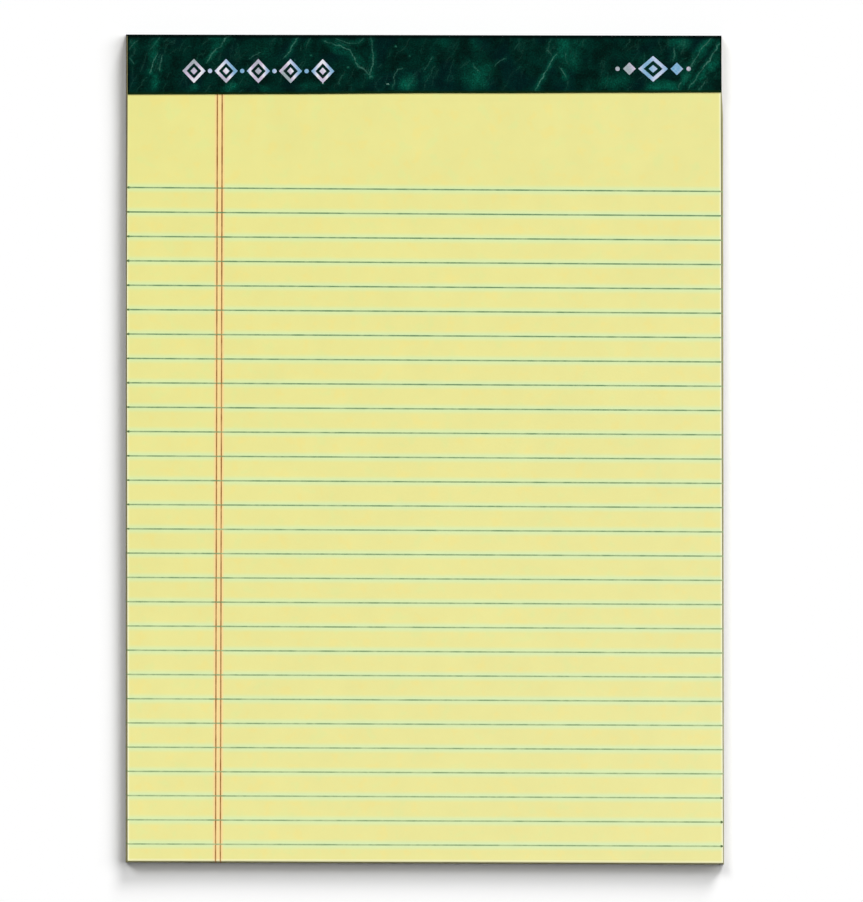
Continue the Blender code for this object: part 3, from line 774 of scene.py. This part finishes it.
marble = {
    "veins": [
        (((8.7, 13.4), (9.6, 10.2), (11.2, 6.6)), 0.85),
        (((9.0, 5.2), (12.0, 0.8)), 0.45),
        (((11.5, 12.4), (13.0, 7.6)), 0.7),
        (((1.2, 5.0), (2.2, 3.4), (3.8, 2.4)), 0.4),
        (((0.6, 8.0), (2.6, 10.4)), 0.3),
        (((29.6, 9.0), (31.8, 5.6), (36.9, 0.8)), 0.85),
        (((45.4, 7.7), (48.0, 6.0)), 0.45),
        (((57.4, 8.0), (61.9, 1.0)), 0.7),
        (((65.2, 4.4), (66.4, 1.4)), 0.4),
        (((72.7, 2.2), (75.5, 3.2), (78.7, 5.0), (80.8, 5.7), (82.2, 8.5), (84.0, 11.7)), 0.75),
        (((84.0, 11.7), (86.1, 12.3), (88.9, 14.6)), 0.7),
        (((76.4, 1.5), (80.6, 3.2), (84.0, 3.6), (85.5, 1.7)), 0.5),
        (((89.1, 1.2), (89.3, 7.5), (88.4, 14.6)), 0.75),
        (((77.0, 17.4), (78.6, 13.8)), 0.35),
        (((96.5, 18.6), (98.4, 12.7), (100.2, 12.4)), 0.5),
        (((107.9, 12.0), (110.2, 8.4)), 0.4),
        (((133.7, 10.8), (136.6, 8.5)), 0.6),
        (((126.0, 11.6), (127.6, 13.0)), 0.6),
        (((148.7, 19.2), (151.8, 13.2), (155.4, 7.4)), 0.9),
        (((152.2, 6.0), (152.6, 3.6), (153.8, 1.6)), 0.4),
        (((152.2, 5.0), (153.4, 7.2)), 0.4),
        (((159.2, 7.6), (159.9, 10.6)), 0.4),
        (((157.6, 12.8), (158.6, 14.4)), 0.7),
        (((198.6, 5.4), (197.9, 9.2)), 0.5),
        (((200.6, 17.4), (199.6, 20.0)), 0.55),
        (((212.4, 0.8), (208.5, 4.8), (206.4, 8.2), (204.6, 11.2)), 0.7),
        (((214.7, 3.4), (210.7, 10.2), (207.0, 15.0), (204.4, 18.8)), 0.9),
        (((210.0, 17.7), (207.8, 20.2)), 0.55),
    ],
    "clouds": [
        ((10.2, 16.8), 1.8, 3.6, 0, 0.80),
        ((9.8, 6.8), 2.4, 6.5, 12, 0.95),
        ((2.6, 3.2), 2.6, 2.6, 0, 0.40),
        ((32.2, 5.0), 1.8, 6.0, 40, 0.85),
        ((24.6, 19.2), 2.2, 1.8, 0, 0.75),
        ((37.6, 18.8), 4.2, 2.0, -10, 0.65),
        ((49.6, 19.2), 2.6, 1.6, 0, 0.40),
        ((48.5, 5.0), 5.0, 4.0, 0, 0.25),
        ((77.2, 4.8), 5.4, 2.7, 24, 0.85),
        ((84.0, 9.5), 2.0, 6.0, -32, 0.45),
        ((66.0, 18.4), 6.0, 2.2, 0, 0.25),
        ((101.8, 17.2), 4.2, 3.8, 0, 0.80),
        ((108.5, 13.5), 2.6, 6.5, 0, 0.30),
        ((127.2, 15.4), 6.2, 5.4, 0, 0.85),
        ((130.0, 11.5), 5.0, 3.6, 30, 0.35),
        ((126.6, 2.6), 3.2, 3.2, 0, 0.35),
        ((115.0, 3.0), 4.0, 3.0, 0, 0.25),
        ((158.6, 5.6), 4.0, 6.6, -12, 0.80),
        ((161.6, 8.5), 4.0, 6.0, 0, 0.55),
        ((158.8, 14.5), 2.2, 3.0, 0, 0.45),
        ((163.5, 3.0), 3.5, 3.0, 0, 0.40),
        ((176.0, 17.0), 9.0, 3.0, 0, 0.40),
        ((194.6, 18.6), 7.4, 2.4, 0, 1.00),
        ((202.4, 15.0), 2.4, 6.0, 25, 0.75),
        ((200.5, 2.8), 5.2, 3.6, 0, 0.80),
        ((207.9, 6.0), 2.4, 8.5, 38, 1.00),
        ((211.4, 12.0), 2.2, 8.0, 36, 0.95),
    ],
    "specks": [(102.6, 7.6), (94.7, 17.7), (97.5, 4.1), (80.3, 11.7), (71.1, 17.5), (66.8, 7.4)],
    "pushes": ((0.5, 5.0, 2), (0.3, 1.4, 3)),   # reach, size and octaves of what bends the print
    "frayed": (2.6, 4),               # size and octaves of what frays the clouds
    "patchy": (3.5, 2),               # and of what breaks up the veins
    "stretch": 0.9984,                # of the print along the strip
    "shift": (0.29, -0.06),
    "skew": 0.0031,
    "speckLength": 0.12,
    "speckTight": 1.8,                # how much faster a speck fades than a vein
    "speckStrength": 1.3,
    "area": ((0, 216), (-26, 22)),    # u and v that chance veins are spread over
    "chanceVeins": 420,
    "chanceLength": (1.2, 7.0),
    "chanceStrength": (0.03, 0.16),
    "chanceLean": (-62, 20),          # degrees, and how far they stray
    "backClouds": 30,
    "backCloudLow": (0, -26, 2, 1.5, -60, 0.3),   # u, v, half lengths, lean and strength
    "backCloudHigh": (216, 0, 7, 4, 60, 0.9),
    "fade": (0.8, 1.6),               # distance from a vein over which its strength goes
    "speckled": 2.6,                  # how much the finest print lightens and darkens the ground
    "veinWidth": (0.04, 0.24),        # half of it, in millimetres, and what the grain adds
    "veinSoft": 0.20,
    "glow": 1.1,                      # its reach, and its strength as a share of the vein's
    "glowShare": 0.6,
    "seed": 21,
    "ground": srgb(0, 10, 8),
    "mottle": srgb(0, 44, 36),
    "cool": srgb(0, 25, 28),
    "cloud": srgb(1, 74, 57),
    "bright": srgb(20, 108, 88),
    "vein": srgb(78, 132, 116),
    "speck": srgb(200, 212, 208),
    # edge darkens the two ends and is the fold's painted shade; cut is painted shade along the cut front
    # edge
    "edge": srgb(0, 6, 5),
    "cut": srgb(16, 38, 8),
    "endEdge": ((0.45, 0.15), 0.8),   # millimetres at which it starts and is full, and its share
    "foldShade": ((1.4, 0.6), 0.85),
    "foldFrom": 0.3,                  # from the head to the middle of the fold's painted shade
    "frontEdgeShade": ((0.95, 0.45), 0.85),
}


def lattice(u, v, size, rng):
    # Chance values from -1 to 1 on a square lattice of that size, joined by S-shaped steps
    table = rng.uniform(-1, 1, (512, 128))
    across, down = u / size, v / size
    i, j = np.floor(across).astype(int), np.floor(down).astype(int)
    s, t = smoothstep(across - i, 0, 1), smoothstep(down - j, 0, 1)
    near = table[i % 512, j % 128] * (1 - s) + table[(i + 1) % 512, j % 128] * s
    far = table[i % 512, (j + 1) % 128] * (1 - s) + table[(i + 1) % 512, (j + 1) % 128] * s
    return near * (1 - t) + far * t


def roughness(u, v, size, octaves, rng):
    # Lattices each half the size and 0.6 times the height of the one before, within about -1..1
    shares = 0.6 ** np.arange(octaves)
    layers = [share * lattice(u, v, size / 2 ** n, rng) for n, share in enumerate(shares)]
    return np.clip(sum(layers) / shares.sum() * 1.7, -1, 1)


def chanceVeins(rng):
    # Short veins, bent once at the middle, that lean mostly one way
    count = marble["chanceVeins"]
    middle = rng.uniform(*np.array(marble["area"]).T, (count, 2))
    half = rng.uniform(*marble["chanceLength"], count) / 2
    strength = rng.uniform(*marble["chanceStrength"], count)
    lean = np.radians(rng.normal(*marble["chanceLean"], (2, count)))
    steps = half[:, None] * np.stack((np.cos(lean), np.sin(lean)), axis=-1)
    points = np.stack((middle - steps[0], middle, middle + steps[1]), axis=1)
    return list(zip(points.tolist(), strength.tolist()))


def veinField(u, v, veins):
    # The signed distance to the nearest vein, a stronger one counting as nearer, and its strength;
    # the sign changes on the line itself, which keeps it thin between the grid's points
    nearest = np.full(u.shape, 99.0)
    side, strength = nearest.copy(), np.zeros(u.shape)
    for points, force in veins:
        for (startU, startV), (endU, endV) in zip(points, points[1:]):
            run, rise = endU - startU, endV - startV
            offU, offV = u - startU, v - startV
            share = np.clip((offU * run + offV * rise) / (run * run + rise * rise), 0, 1)
            gap = np.hypot(offU - share * run, offV - share * rise)
            closer = gap / force < nearest
            nearest[closer] = gap[closer] / force
            side[closer] = (gap * np.sign(offU * rise - offV * run))[closer]
            strength[closer] = force
    return side, strength


def cloudField(u, v, clouds):
    # The strongest cloud at each place, each fading from its middle to a little past its oval
    field = np.zeros(u.shape)
    for (middleU, middleV), halfLong, halfHigh, lean, force in clouds:
        turn = math.radians(lean)
        offU, offV = u - middleU, v - middleV
        along = (offU * math.cos(turn) + offV * math.sin(turn)) / halfLong
        across = (offV * math.cos(turn) - offU * math.sin(turn)) / halfHigh
        field = np.maximum(field, force * smoothstep(np.hypot(along, across), 1.2, 0.1))
    return field


def marbleMasks(u, v):
    # Clouds with the veins' soft glow, the veins' signed distance and their strength, all read at
    # places pushed about by two sizes of roughness; specks are very short veins, not pushed
    rng = np.random.default_rng(marble["seed"])
    pushed = []
    for place in (u, v):
        for reach, size, octaves in marble["pushes"]:
            place = place + reach * roughness(u, v, size, octaves, rng)
        pushed.append(place)
    frayed = roughness(u, v, *marble["frayed"], rng)
    patchy = roughness(u, v, *marble["patchy"], rng)
    back = rng.uniform(marble["backCloudLow"], marble["backCloudHigh"], (marble["backClouds"], 6))
    clouds = marble["clouds"] + [(row[:2], *row[2:]) for row in back.tolist()]
    cloud = cloudField(*pushed, clouds)
    side, strength = veinField(*pushed, marble["veins"] + chanceVeins(rng))
    half = marble["speckLength"] / 2
    specks = [(((x - half, y), (x + half, y)), marble["speckStrength"]) for x, y in marble["specks"]]
    speckSide, speckStrength = veinField(u, v, specks)
    speckSide = speckSide * marble["speckTight"]
    onSpeck = np.abs(speckSide) < marble["fade"][0]
    side, strength = np.where(onSpeck, speckSide, side), np.where(onSpeck, speckStrength, strength)
    glow = marble["glowShare"] * strength * np.exp(-(side / marble["glow"]) ** 2)
    strength = strength * smoothstep(np.abs(side), *marble["fade"][::-1])
    strength = strength * np.clip(0.75 + 0.5 * patchy, 0.2, 1)
    cloud = np.clip(np.maximum(cloud, glow) * (0.8 + 0.65 * frayed), 0, 1)
    return {"cloud": cloud, "veinSide": side, "veinStrength": strength}


def marbleFinish():
    # Mottled ground with a cool cast in places, clouds, then veins and specks; the two ends are darker,
    # and painted shade darkens the fold and the cut front edge
    finish = Finish("greenMarble", roughness=0.42, specular=0.01)
    plan = finish.scaled(finish.node("UVMap", {"uv_map": "printPlan"}), 1 / mm)
    cloud, side, strength, fromEdge = (
        finish.attribute(name) for name in ("cloud", "veinSide", "veinStrength", "fromEdge"))
    mottling = finish.noise(plan, 0.16, detail=4.0, roughness=0.62)
    grain = finish.noise(plan, 1.5, detail=4.0, roughness=0.7)
    fine = finish.noise(plan, 4.2, detail=2.0, roughness=0.6)
    speckle = finish.noise(plan, 2.2, detail=2.0, roughness=0.6)
    cool = finish.noise(plan, 0.09, detail=1.0)
    u, v, _ = finish.split(plan)

    colour = finish.blend(mottling.over(0.36, 0.64) * 0.55 + grain.over(0.32, 0.72) * 0.5,
                          marble["ground"], marble["mottle"])
    colour = finish.blend(cool.over(0.5, 0.66) * 0.6, colour, marble["cool"])
    colour = finish.blend(cloud * 0.95, colour, marble["cloud"])
    colour = finish.blend(cloud * grain.over(0.42, 0.72) * 0.7, colour, marble["bright"])
    colour = finish.scaled(colour, 1 + marble["speckled"] * (speckle - 0.5))
    thin, more = marble["veinWidth"]
    width = thin + more * grain
    core = abs(side).over(width + marble["veinSoft"], width * 0.1) * strength
    colour = finish.blend(core * speckle.over(0.25, 0.68), colour, marble["vein"])
    colour = finish.blend(core.over(0.95, 1.2), colour, marble["speck"])
    colour = finish.blend(fine.over(0.55, 0.75) * 0.14, colour, marble["vein"])
    endGap = (halfWidth - strip["thickness"]) / mm - abs(u - halfWidth / mm)
    foldGap = abs(v - marble["foldFrom"])
    # Darker ends, and painted shade at the fold and along the cut front edge
    for gap, edge, dark in ((endGap, "endEdge", "edge"), (foldGap, "foldShade", "edge"),
                            (fromEdge, "frontEdgeShade", "cut")):
        reach, share = marble[edge]
        colour = finish.blend(gap.over(*reach) * share, colour, marble[dark])
    finish.give("Base Color", colour)
    finish.give("Roughness", 0.36 + 0.14 * grain)
    finish.bump(grain, 0.012 * mm, 0.35)
    return finish.material


# Foil ornaments: a row of pierced lozenges with dots between them, and a cluster at the far end

foil = {
    "count": 5,
    "spacing": 11.7 * mm,
    "lozenge": (8.4 * mm, 8.8 * mm),
    "rings": (1.0, 0.64, 0.3),   # of the lozenge: foil, ground and foil again
    "dot": 1.6 * mm,
    "rowFromLeft": 47.5 * mm,
    "rowFromHead": 13.2 * mm,
    "clusterFromRight": 24.8 * mm,
    "clusterFromHead": 12.1 * mm,
    "clusterSpacing": 8.6 * mm,
    "clusterLozenge": (10.8 * mm, 9.4 * mm),
    "small": (4.6 * mm, 4.6 * mm),
    "height": 0.02 * mm,
    "dotSides": 24,
    "closedShare": 0.02,         # of a plate, what is left open at its middle under a last ring
    "tints": ((0.05, srgb(128, 146, 150)), (0.30, srgb(186, 172, 200)), (0.50, srgb(222, 220, 228)),
              (0.70, srgb(170, 186, 216)), (0.95, srgb(84, 150, 190))),
    "shine": srgb(248, 248, 252),
}


def diamond(width, height, share=1.0):
    # Four corners on the axes, anticlockwise from the right
    return share * np.array(((width, 0), (0, height), (-width, 0), (0, -height))) / 2


def stamped(outline, hole, middle):
    # A thin plate on the flap: rings of points round its foot, its top, and down the hole, or up
    # to the middle of the top where it has none; each point takes the flap's height below it
    outer = outline + middle
    inner = (hole if hole is not None else outline * foil["closedShare"]) + middle
    low, high = -foil["height"] / 2, foil["height"]
    levels = [(inner, low), (outer, low), (outer, high), (inner, high)]
    rings = np.stack([onStrip(*flat.T, stripTop + stripRelief(*flat.T) + level)
                      for flat, level in levels])
    sides = len(outline)
    walls = ringQuads(4, sides)
    j = np.arange(sides)
    closing = np.stack((3 * sides + j, 3 * sides + (j + 1) % sides, (j + 1) % sides, j), axis=1)
    return rings.reshape(-1, 3), [walls, closing]


def ornamentShapes():
    # Every plate as its outline, its hole and its middle
    outer, ground, core = foil["rings"]
    row = np.array((foil["rowFromLeft"] - halfWidth, stripHead - foil["rowFromHead"]))
    step = np.array((foil["spacing"], 0))
    dot = polygon(foil["dotSides"], foil["dot"] / 2)
    for number in range(foil["count"]):
        middle = row + (number - (foil["count"] - 1) / 2) * step
        yield diamond(*foil["lozenge"], outer), diamond(*foil["lozenge"], ground), middle
        yield diamond(*foil["lozenge"], core), None, middle
        if number < foil["count"] - 1:
            yield dot, None, middle + step / 2
    cluster = np.array((halfWidth - foil["clusterFromRight"], stripHead - foil["clusterFromHead"]))
    size = foil["clusterLozenge"]
    yield diamond(*size, outer), diamond(*size, ground), cluster
    yield diamond(*size, core), None, cluster
    for side in (-1, 1):
        beside = cluster + (side * foil["clusterSpacing"], 0)
        yield diamond(*foil["small"]), None, beside
        yield dot, None, beside + (side * foil["clusterSpacing"] / 2, 0)


def makeOrnaments(material):
    # All the plates as one piece
    allPoints, allFaces, start = [], [], 0
    for outline, hole, middle in ornamentShapes():
        points, faceSets = stamped(outline, hole, middle)
        allPoints.append(points)
        allFaces += [faces + start for faces in faceSets]
        start += len(points)
    return finishPiece(makeObject("foilOrnaments", np.concatenate(allPoints), allFaces), material)


def foilFinish():
    # Silver foil whose tint drifts from grey through lilac and white to light blue
    finish = Finish("silverFoil", roughness=0.3, metallic=0.25)
    place = finish.objectPlace()
    hue = finish.noise(finish.stretched(place, (1.0, 0.35, 0.0)), 0.13, detail=0.0)
    brushed = finish.noise(finish.stretched(place, (0.5, 3.0, 0.0)), 2.2, detail=3.0)
    ramp = finish.node("ValToRGB", {"stops": foil["tints"]}, {0: hue.over(0.28, 0.72)})
    colour = finish.blend(brushed.over(0.35, 0.7) * 0.25, ramp, foil["shine"])
    finish.give("Base Color", colour)
    finish.give("Roughness", 0.24 + 0.16 * brushed)
    finish.bump(brushed, 0.008 * mm, 0.4)
    return finish.material


# Board and staples

board = {
    "rings": ((0.10, 0.0), (0.02, 0.05), (0.0, 0.16), (0.0, 0.84), (0.02, 0.95), (0.10, 1.0)),
    "waver": 0.05 * mm,
    "waverLength": 40 * mm,
    "step": 2 * mm,
    "seed": 13,
    "pulp": srgb(138, 128, 110),
    "palePulp": srgb(168, 158, 138),
    "crossing": srgb(120, 110, 94),
    "greyer": srgb(152, 146, 132),
    "fleck": srgb(92, 84, 72),
    "paleFibre": srgb(204, 196, 178),
    "cut": srgb(118, 106, 88),
    "cutFrom": (0.05, 0.15),     # millimetres in from each face, where the cut edge's layers show
}


def makeBoard(material):
    # Rings round the board's edge, each its inset in millimetres and its share of the height: a
    # chopped section with rubbed corners, closed by one face below and one above
    rng = np.random.default_rng(board["seed"])
    columns = int(padWidth / board["step"]) + 1
    rows = int((boardHigh[1] - boardLow[1]) / board["step"]) + 1
    low, high = boardLow[1], boardHigh[1]
    across, along = np.linspace(-halfWidth, halfWidth, columns), np.linspace(low, high, rows)
    right, left = np.full(rows - 1, halfWidth), np.full(rows - 1, -halfWidth)
    below, above = np.full(columns - 1, low), np.full(columns - 1, high)
    x = np.concatenate((across[:-1], right, across[:0:-1], left))
    y = np.concatenate((below, along[:-1], above, along[:0:-1]))
    length = np.arange(len(x)) * board["step"]
    rings = []
    for inset, share in board["rings"]:
        rough = board["waver"] * (1 + waver(length, 1, board["waverLength"], rng)[0]) / 2
        inset = inset * mm + rough
        z = np.full(len(x), boardLow[2] + share * (boardHigh[2] - boardLow[2]))
        flatX = np.clip(x, -halfWidth + inset, halfWidth - inset)
        flatY = np.clip(y, low + inset, high - inset)
        rings.append(np.column_stack((*trimmed(flatX, flatY, z), z)))
    size = len(x)
    caps = np.stack((np.arange(size)[::-1], (len(rings) - 1) * size + np.arange(size)))
    piece = makeObject("backBoard", np.concatenate(rings), [ringQuads(len(rings), size), caps])
    return finishPiece(piece, material)


def chipboardFinish():
    # Grey-brown pressed stock: long fibres at random, dark and pale flecks, a darker cut edge
    finish = Finish("greyChipboard", roughness=0.92, specular=0.25)
    place = finish.objectPlace()
    along = finish.stretched(place, (0.35, 1.6, 1.0))
    fibres = finish.noise(along, 1.4, detail=5.0, roughness=0.7)
    cross = finish.noise(finish.stretched(place, (0.5, 2.4, 1.0), turn=0.9), 1.1, detail=4.0)
    cloudy = finish.noise(place, 0.07, detail=3.0)
    layered = finish.noise(finish.stretched(place, (0.15, 0.15, 7.0)), 1.0, detail=3.0)
    spots = {"Vector": finish.warped(place, 1.2, 0.8), "Scale": 0.55, "Randomness": 1.0}
    flecks = finish.node("TexVoronoi", {"feature": "F1"}, spots)
    z = finish.split(place)[2]
    above, below = z - boardLow[2] / mm, boardHigh[2] / mm - z
    inside = above.over(*board["cutFrom"]) * below.over(*board["cutFrom"])
    colour = finish.blend(fibres.over(0.3, 0.7), board["pulp"], board["palePulp"])
    for share, tint in ((cross.over(0.55, 0.75) * 0.5, "crossing"),
                        (cloudy.over(0.4, 0.65) * 0.35, "greyer"),
                        (flecks.over(0.16, 0.10) * 0.7, "fleck"),
                        (fibres.over(0.72, 0.80) * 0.6, "paleFibre"),
                        (inside * layered.over(0.35, 0.65) * 0.6, "cut")):
        colour = finish.blend(share, colour, board[tint])
    finish.give("Base Color", colour)
    finish.give("Roughness", 0.86 + 0.1 * cross)
    finish.bump(fibres * 0.6 + cross * 0.4, 0.06 * mm, 0.6)
    return finish.material


def wireFinish():
    # Bright drawn wire with fine lengthwise marks
    finish = Finish("bindingWire", roughness=0.3, metallic=1.0)
    place = finish.objectPlace()
    drawn = finish.noise(finish.stretched(place, (0.2, 6.0, 6.0)), 3.0, detail=3.0)
    finish.give("Base Color", finish.blend(drawn, srgb(156, 158, 164), srgb(206, 208, 212)))
    finish.give("Roughness", 0.22 + 0.2 * drawn)
    finish.bump(drawn, 0.004 * mm, 0.4)
    return finish.material


# Stage, light and camera

stage = {
    "floorHalf": 6.0,
    "floorBelow": 0.02 * mm,
    "white": 1.0,                      # as the camera sees the floor
    "bounce": 0.5,                     # share of its light that the floor throws back at the pad
    "sky": 0.05,                       # share of the light that comes from all round
    # Each lamp's share of the light, its run to the right and up for a rise of 1, and how many
    # degrees it is across, which softens its shadow
    "lamps": {"high": (0.353, (0.71, 1.70), 21.6), "right": (0.344, (0.96, 0.37), 38.9),
              "left": (0.253, (-0.48, 0.82), 19.6)},
}
plainRays = ("Is Glossy Ray", "Is Transmission Ray")     # these see what the camera sees
view = {
    "place": (0.01546, -0.01843, 1.5),
    "turn": (0.6747, 0.4933, -0.0103),   # degrees
    "lens": 165.98,
    "sensor": 36.0,
}


def makeStage():
    # A wide floor just below the pad: white to the camera, to gloss and through glass
    half, z = stage["floorHalf"], -stage["floorBelow"]
    corners = [(-half, -half, z), (half, -half, z), (half, half, z), (-half, half, z)]
    mesh = bpy.data.meshes.new("floor")
    mesh.from_pydata(corners, [], [(0, 1, 2, 3)])
    floor = bpy.data.objects.new("floor", mesh)
    bpy.context.scene.collection.objects.link(floor)
    finish = Finish("whiteFloor", roughness=1.0, specular=0.0)
    seen = finish.node("LightPath", output="Is Camera Ray")
    for ray in plainRays:
        seen = seen.most(finish.node("LightPath", output=ray))
    dim, white = ((stage[level],) * 3 + (1.0,) for level in ("bounce", "white"))
    finish.give("Base Color", finish.blend(seen, dim, white))
    mesh.materials.append(finish.material)


def makeLamps():
    # Broad far lamps; each gives a level sheet its share of the light that shows white as white
    for name, (share, (run, rise), angle) in stage["lamps"].items():
        lamp = bpy.data.lights.new(name, "SUN")
        lamp.energy = math.pi * share * math.sqrt(run * run + rise * rise + 1)
        lamp.angle = math.radians(angle)
        placed = bpy.data.objects.new(name, lamp)
        placed.rotation_euler = (-math.atan2(rise, math.hypot(run, 1)), math.atan2(run, 1), 0)
        bpy.context.scene.collection.objects.link(placed)


def makeWorld():
    # White to the camera, to gloss and through glass; elsewhere the sky's even share
    world = bpy.data.worlds.new("studio")
    bpy.context.scene.world = world
    world.use_nodes = True
    nodes, links = world.node_tree.nodes, world.node_tree.links
    background = nodes["Background"]
    background.inputs["Color"].default_value = (1.0, 1.0, 1.0, 1.0)
    path = nodes.new("ShaderNodeLightPath")
    seen = path.outputs["Is Camera Ray"]
    for name in plainRays:
        either = nodes.new("ShaderNodeMath")
        either.operation = "MAXIMUM"
        links.new(seen, either.inputs[0])
        links.new(path.outputs[name], either.inputs[1])
        seen = either.outputs["Value"]
    strength = nodes.new("ShaderNodeMapRange")
    strength.inputs["To Min"].default_value = stage["sky"]
    links.new(seen, strength.inputs["Value"])
    links.new(strength.outputs["Result"], background.inputs["Strength"])


def makeCamera():
    # Straight above the pad's middle, near enough, with a long lens
    camera = bpy.data.objects.new("camera", bpy.data.cameras.new("camera"))
    camera.location = view["place"]
    camera.rotation_euler = [math.radians(angle) for angle in view["turn"]]
    camera.data.lens = view["lens"]
    camera.data.sensor_width = view["sensor"]
    bpy.context.scene.collection.objects.link(camera)
    bpy.context.scene.camera = camera


makeCamera()
makeLamps()
makeWorld()
makeStage()
print("stage ready")

paper = paperFinish()
sheetPiece = makeSheets(paper)
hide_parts("sheet_block")

inkRng = np.random.default_rng(ruling["seed"])
ruleInk = inkFinish("ruleInk", ruleInkLook)
marginInk = inkFinish("marginInk", marginInkLook)
makeLines("ruledLines", ruleEnds(), ruling["ruleWidth"], ruleInk, inkRng, ruling["beadWidth"])
makeLines("marginLines", marginEnds(), ruling["marginWidth"], marginInk, inkRng)

stripPiece = makeStrip(marbleFinish())
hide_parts("binding_strip")
makeOrnaments(foilFinish())

boardPiece = makeBoard(chipboardFinish())
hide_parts("back_board")
wire = wireFinish()
for name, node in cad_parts.items():
    if name.startswith("staple_"):
        node.data.materials.clear()
        node.data.materials.append(wire)
print("board and staples finished")

bpy.context.scene.view_settings.view_transform = "Standard"
